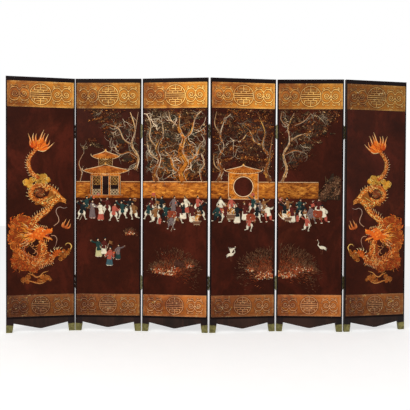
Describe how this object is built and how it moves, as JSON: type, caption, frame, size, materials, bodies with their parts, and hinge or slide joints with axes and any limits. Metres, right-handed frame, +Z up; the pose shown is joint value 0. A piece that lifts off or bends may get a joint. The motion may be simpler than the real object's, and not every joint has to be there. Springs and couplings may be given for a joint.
{
  "type": "folding lacquer screen",
  "caption": "Folding room screen of hinged lacquered leaves with gilt bands, applied relief pictures and brass-shod legs.",
  "frame": {"origin": "on the floor under the middle of the screen's box, as it stands at rest", "axes": "+X along the screen to the viewer's right, -Y out of the pictured front, +Z up"},
  "size_m": [2.909, 0.1645, 1.83],
  "materials": {
    "lacquer": "polished lacquer",
    "back_lacquer": "plain polished lacquer",
    "core_wood": "bare softwood",
    "gilt": "worn gold lacquer",
    "relief": "carved, painted and gilt",
    "brass": "aged brass"
  },
  "bodies": {
    "leaf_1": {"leaf_1_stiles": "lacquer", "leaf_1_rails": "lacquer", "leaf_1_core_planks": "core_wood", "leaf_1_front_board": "lacquer", "leaf_1_back_board": "back_lacquer", "leaf_1_gilt_bands": "gilt", "leaf_1_relief": "relief", "leaf_1_foot_caps": "brass", "leaf_1_hinge_plates": "brass", "joint_1_hinge_pins": "brass"},
    "leaf_2": {"leaf_2_stiles": "lacquer", "leaf_2_rails": "lacquer", "leaf_2_core_planks": "core_wood", "leaf_2_front_board": "lacquer", "leaf_2_back_board": "back_lacquer", "leaf_2_gilt_bands": "gilt", "leaf_2_relief": "relief", "leaf_2_foot_caps": "brass", "leaf_2_hinge_plates": "brass", "joint_2_hinge_pins": "brass"},
    "leaf_3": {"leaf_3_stiles": "lacquer", "leaf_3_rails": "lacquer", "leaf_3_core_planks": "core_wood", "leaf_3_front_board": "lacquer", "leaf_3_back_board": "back_lacquer", "leaf_3_gilt_bands": "gilt", "leaf_3_relief": "relief", "leaf_3_foot_caps": "brass", "leaf_3_hinge_plates": "brass", "joint_3_hinge_pins": "brass"},
    "leaf_4": {"leaf_4_stiles": "lacquer", "leaf_4_rails": "lacquer", "leaf_4_core_planks": "core_wood", "leaf_4_front_board": "lacquer", "leaf_4_back_board": "back_lacquer", "leaf_4_gilt_bands": "gilt", "leaf_4_relief": "relief", "leaf_4_foot_caps": "brass", "leaf_4_hinge_plates": "brass", "joint_4_hinge_pins": "brass"},
    "leaf_5": {"leaf_5_stiles": "lacquer", "leaf_5_rails": "lacquer", "leaf_5_core_planks": "core_wood", "leaf_5_front_board": "lacquer", "leaf_5_back_board": "back_lacquer", "leaf_5_gilt_bands": "gilt", "leaf_5_relief": "relief", "leaf_5_foot_caps": "brass", "leaf_5_hinge_plates": "brass", "joint_5_hinge_pins": "brass"},
    "leaf_6": {"leaf_6_stiles": "lacquer", "leaf_6_rails": "lacquer", "leaf_6_core_planks": "core_wood", "leaf_6_front_board": "lacquer", "leaf_6_back_board": "back_lacquer", "leaf_6_gilt_bands": "gilt", "leaf_6_relief": "relief", "leaf_6_foot_caps": "brass", "leaf_6_hinge_plates": "brass"}
  },
  "joints": [
    {"name": "fold_1_2", "type": "hinge", "parent": "leaf_1", "child": "leaf_2", "pos_m": [-0.97637, 0.07742, 0.355], "axis": [0, 0, 1], "range_deg": [-4, 193]},
    {"name": "fold_2_3", "type": "hinge", "parent": "leaf_2", "child": "leaf_3", "pos_m": [-0.49311, 0.00201, 0.355], "axis": [0, 0, -1], "range_deg": [-21.5, 175.5]},
    {"name": "fold_3_4", "type": "hinge", "parent": "leaf_3", "child": "leaf_4", "pos_m": [-0.00635, -0.04598, 0.355], "axis": [0, 0, 1], "range_deg": [-30.5, 166.5]},
    {"name": "fold_4_5", "type": "hinge", "parent": "leaf_4", "child": "leaf_5", "pos_m": [0.48276, -0.04486, 0.355], "axis": [0, 0, -1], "range_deg": [-26, 171]},
    {"name": "fold_5_6", "type": "hinge", "parent": "leaf_5", "child": "leaf_6", "pos_m": [0.97178, -0.05452, 0.355], "axis": [0, 0, 1], "range_deg": [-30, 167]}
  ]
}
